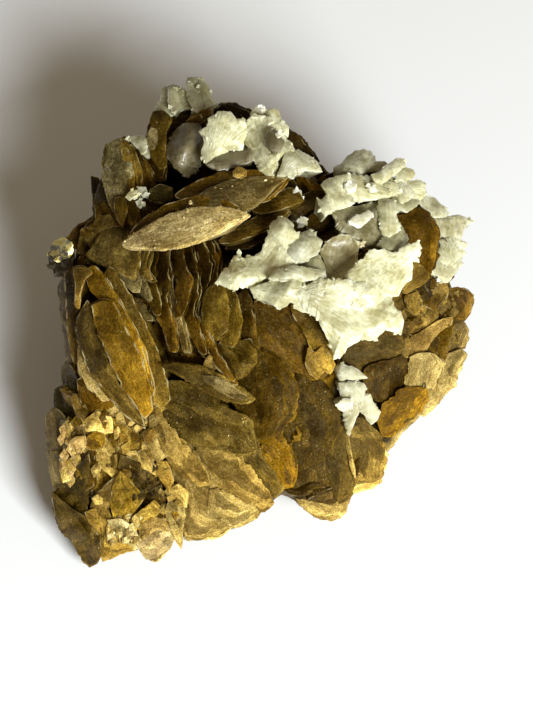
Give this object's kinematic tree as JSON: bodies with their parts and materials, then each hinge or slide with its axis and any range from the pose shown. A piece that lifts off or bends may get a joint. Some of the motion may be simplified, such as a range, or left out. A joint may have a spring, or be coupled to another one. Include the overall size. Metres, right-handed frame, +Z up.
{
  "type": "siderite specimen with dolomite crystals",
  "caption": "Hand-sized mineral specimen: a fused mass of curved brown siderite blades with white saddle dolomite petals on its face and a flat broken base.",
  "frame": {"origin": "middle of the bounding box, at the height of the flat base", "axes": "+Z up off the flat base, +X to the right of the crystal face, +Y away behind the face, which leans back"},
  "size_m": [0.0702, 0.0754, 0.0461],
  "materials": {
    "siderite": "vitreous to frosted golden-brown crystal faces with paler edges and fine glitter",
    "dolomite": "pearly cream-white, slightly translucent curved crystal faces with bright glints",
    "dolomite_grey": "greyish rounded crystal, dull pearly",
    "brassy_sulphide": "brassy metallic grain, tarnished dark at its foot"
  },
  "bodies": {
    "root": {"siderite_crystals": "siderite", "dolomite_upper_left_petals": "dolomite", "dolomite_shaded_leaf": "dolomite_grey", "dolomite_small_wedge": "dolomite", "dolomite_upper_petals": "dolomite", "dolomite_right_petals": "dolomite", "dolomite_edge_petals": "dolomite", "dolomite_lower_petals": "dolomite", "small_crystal_left": "dolomite", "small_crystal_middle": "dolomite", "small_crystal_hollow": "dolomite", "small_crystal_ledge": "dolomite", "brassy_grain": "brassy_sulphide"}
  },
  "joints": []
}
